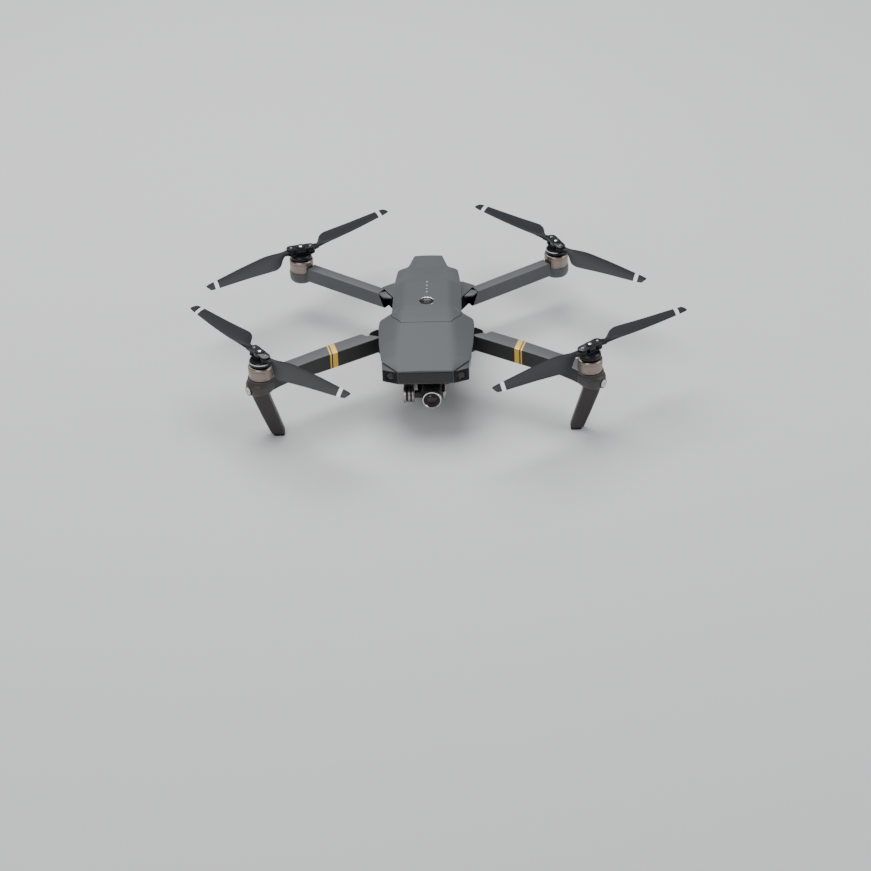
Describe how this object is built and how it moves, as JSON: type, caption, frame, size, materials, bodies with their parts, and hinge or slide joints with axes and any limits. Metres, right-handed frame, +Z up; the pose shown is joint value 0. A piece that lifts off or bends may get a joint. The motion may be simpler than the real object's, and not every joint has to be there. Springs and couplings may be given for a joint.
{
  "type": "quadcopter drone",
  "caption": "Folding camera drone with two body shells, lift-out battery, hinged arms, outrunner motors, folding propellers and a three-axis camera gimbal.",
  "frame": {"origin": "centre of the belly plate's flat underside", "axes": "+Z up, nose and camera towards -Y, +X to the right of a person facing the nose"},
  "size_m": [0.4343, 0.363, 0.0834],
  "materials": {
    "shell_grey": "fine matt moulded shell",
    "arm_grey": "fine matt moulded arm",
    "dark_plastic": "dark satin plastic",
    "gloss_black": "polished black",
    "blade_plastic": "satin fibre-filled plastic with white tip bands",
    "bell_metal": "turned and satin anodised",
    "winding_copper": "enamelled copper winding",
    "steel_pin": "ground steel",
    "rubber_foot": "matt rubber",
    "circuit_board": "solder mask",
    "cell_wrap": "shrink wrap",
    "lens_glass": "coated glass, opaque from outside",
    "lamp_lens": "frosted lamp lens",
    "gimbal_metal": "satin anodised"
  },
  "bodies": {
    "airframe": {"upper_shell": "shell_grey", "lower_shell": "shell_grey", "belly_plate": "dark_plastic", "belly_sensor": "gloss_black", "nose_fascia": "dark_plastic", "vision_sensor_left": "gloss_black", "vision_sensor_right": "gloss_black", "main_board": "circuit_board", "positioning_module": "steel_pin", "fan_housing": "dark_plastic", "front_hinge_pin_left": "steel_pin", "front_hinge_pin_right": "steel_pin", "rear_hinge_pin_left": "steel_pin", "rear_hinge_pin_right": "steel_pin", "rear_foot_left": "rubber_foot", "rear_foot_right": "rubber_foot", "gimbal_plate": "dark_plastic"},
    "fan": {"fan_rotor": "dark_plastic"},
    "battery": {"battery_case": "shell_grey", "battery_cells": "cell_wrap"},
    "power_button": {"power_button": "gloss_black"},
    "battery_latch_left": {"battery_latch_left": "dark_plastic"},
    "battery_latch_right": {"battery_latch_right": "dark_plastic"},
    "port_cover": {"port_cover": "shell_grey"},
    "gimbal_yaw": {"gimbal_yaw_arm": "gimbal_metal"},
    "gimbal_roll": {"gimbal_roll_arm": "gimbal_metal"},
    "camera": {"camera_body": "dark_plastic", "camera_lens": "lens_glass"},
    "front_arm_left": {"front_arm_left": "arm_grey", "landing_leg_left": "dark_plastic", "landing_foot_left": "rubber_foot", "front_lamp_left": "lamp_lens", "motor_stator_front_left": "winding_copper"},
    "rear_arm_left": {"rear_arm_left": "arm_grey", "motor_stator_rear_left": "winding_copper"},
    "front_arm_right": {"front_arm_right": "arm_grey", "landing_leg_right": "dark_plastic", "landing_foot_right": "rubber_foot", "front_lamp_right": "lamp_lens", "motor_stator_front_right": "winding_copper"},
    "rear_arm_right": {"rear_arm_right": "arm_grey", "motor_stator_rear_right": "winding_copper"},
    "prop_front_left": {"motor_bell_front_left": "bell_metal", "prop_hub_front_left": "gloss_black"},
    "blade_front_left_1": {"prop_blade_front_left_1": "blade_plastic"},
    "blade_front_left_2": {"prop_blade_front_left_2": "blade_plastic"},
    "prop_front_right": {"motor_bell_front_right": "bell_metal", "prop_hub_front_right": "gloss_black"},
    "blade_front_right_1": {"prop_blade_front_right_1": "blade_plastic"},
    "blade_front_right_2": {"prop_blade_front_right_2": "blade_plastic"},
    "prop_rear_left": {"motor_bell_rear_left": "bell_metal", "prop_hub_rear_left": "gloss_black"},
    "blade_rear_left_1": {"prop_blade_rear_left_1": "blade_plastic"},
    "blade_rear_left_2": {"prop_blade_rear_left_2": "blade_plastic"},
    "prop_rear_right": {"motor_bell_rear_right": "bell_metal", "prop_hub_rear_right": "gloss_black"},
    "blade_rear_right_1": {"prop_blade_rear_right_1": "blade_plastic"},
    "blade_rear_right_2": {"prop_blade_rear_right_2": "blade_plastic"}
  },
  "joints": [
    {"name": "front_arm_fold_left", "type": "hinge", "parent": "airframe", "child": "front_arm_left", "pos_m": [-0.036, -0.0387, 0.034], "axis": [0, 0, -1], "range_deg": [0, 120]},
    {"name": "rear_arm_fold_left", "type": "hinge", "parent": "airframe", "child": "rear_arm_left", "pos_m": [-0.041, 0.0585, 0.021], "axis": [-0.8805, -0.4722, -0.0418], "range_deg": [0, 180]},
    {"name": "front_arm_fold_right", "type": "hinge", "parent": "airframe", "child": "front_arm_right", "pos_m": [0.036, -0.0387, 0.034], "axis": [0, 0, 1], "range_deg": [0, 120]},
    {"name": "rear_arm_fold_right", "type": "hinge", "parent": "airframe", "child": "rear_arm_right", "pos_m": [0.041, 0.0585, 0.021], "axis": [-0.8805, 0.4722, 0.0418], "range_deg": [0, 180]},
    {"name": "prop_spin_front_left", "type": "hinge", "parent": "front_arm_left", "child": "prop_front_left", "pos_m": [-0.1419, -0.10615, 0.062], "axis": [0, 0, 1], "continuous": true},
    {"name": "blade_fold_front_left_1", "type": "hinge", "parent": "prop_front_left", "child": "blade_front_left_1", "pos_m": [-0.147, -0.09886, 0.062], "axis": [0, 0, -1], "range_deg": [-15, 81]},
    {"name": "blade_fold_front_left_2", "type": "hinge", "parent": "prop_front_left", "child": "blade_front_left_2", "pos_m": [-0.13679, -0.11344, 0.062], "axis": [0, 0, 1], "range_deg": [-15, 58.5]},
    {"name": "prop_spin_front_right", "type": "hinge", "parent": "front_arm_right", "child": "prop_front_right", "pos_m": [0.1419, -0.10615, 0.062], "axis": [0, 0, -1], "continuous": true},
    {"name": "blade_fold_front_right_1", "type": "hinge", "parent": "prop_front_right", "child": "blade_front_right_1", "pos_m": [0.14841, -0.10008, 0.062], "axis": [0, 0, 1], "range_deg": [-15, 98]},
    {"name": "blade_fold_front_right_2", "type": "hinge", "parent": "prop_front_right", "child": "blade_front_right_2", "pos_m": [0.13539, -0.11222, 0.062], "axis": [0, 0, -1], "range_deg": [-15, 56]},
    {"name": "prop_spin_rear_left", "type": "hinge", "parent": "rear_arm_left", "child": "prop_rear_left", "pos_m": [-0.1166, 0.10615, 0.0459], "axis": [0, 0, -1], "continuous": true},
    {"name": "blade_fold_rear_left_1", "type": "hinge", "parent": "prop_rear_left", "child": "blade_rear_left_1", "pos_m": [-0.10795, 0.10823, 0.0459], "axis": [0, 0, -1], "range_deg": [-15, 61.2]},
    {"name": "blade_fold_rear_left_2", "type": "hinge", "parent": "prop_rear_left", "child": "blade_rear_left_2", "pos_m": [-0.12525, 0.10407, 0.0459], "axis": [0, 0, 1], "range_deg": [-15, 84.5]},
    {"name": "prop_spin_rear_right", "type": "hinge", "parent": "rear_arm_right", "child": "prop_rear_right", "pos_m": [0.1166, 0.10615, 0.0459], "axis": [0, 0, 1], "continuous": true},
    {"name": "blade_fold_rear_right_1", "type": "hinge", "parent": "prop_rear_right", "child": "blade_rear_right_1", "pos_m": [0.1127, 0.11415, 0.0459], "axis": [0, 0, 1], "range_deg": [-15, 61.7]},
    {"name": "blade_fold_rear_right_2", "type": "hinge", "parent": "prop_rear_right", "child": "blade_rear_right_2", "pos_m": [0.1205, 0.09815, 0.0459], "axis": [0, 0, -1], "range_deg": [-15, 93.3]},
    {"name": "fan_spin", "type": "hinge", "parent": "airframe", "child": "fan", "pos_m": [0, -0.048, 0.018], "axis": [0, 0, 1], "continuous": true},
    {"name": "battery_slide", "type": "slide", "parent": "airframe", "child": "battery", "axis": [0, 0, -1], "range_m": [-0.03, 0]},
    {"name": "power_button_press", "type": "slide", "parent": "battery", "child": "power_button", "axis": [0, 0, -1], "range_m": [0, 0.0008], "stiffness_N_per_m": 400},
    {"name": "battery_latch_press_left", "type": "slide", "parent": "battery", "child": "battery_latch_left", "axis": [1, 0, 0], "range_m": [0, 0.0012], "stiffness_N_per_m": 400},
    {"name": "battery_latch_press_right", "type": "slide", "parent": "battery", "child": "battery_latch_right", "axis": [-1, 0, 0], "range_m": [0, 0.0012], "stiffness_N_per_m": 400},
    {"name": "port_cover_flap", "type": "hinge", "parent": "airframe", "child": "port_cover", "pos_m": [0.0242, 0.022, 0.012], "axis": [0, -1, 0], "range_deg": [-100, 0]},
    {"name": "gimbal_yaw", "type": "hinge", "parent": "airframe", "child": "gimbal_yaw", "pos_m": [-0.002, -0.072, 0.022], "axis": [0, 0, 1], "range_deg": [-25, 25]},
    {"name": "gimbal_roll", "type": "hinge", "parent": "gimbal_yaw", "child": "gimbal_roll", "pos_m": [-0.002, -0.076, 0.01], "axis": [0, 1, 0], "range_deg": [-25, 25]},
    {"name": "camera_tilt", "type": "hinge", "parent": "gimbal_roll", "child": "camera", "pos_m": [0, -0.091, 0.01], "axis": [1, 0, 0], "range_deg": [-30, 90]}
  ],
  "couplings": [
    {"joint": "rear_arm_fold_left", "follows": "front_arm_fold_left", "ratio": 1.5},
    {"joint": "rear_arm_fold_right", "follows": "front_arm_fold_right", "ratio": 1.5}
  ]
}
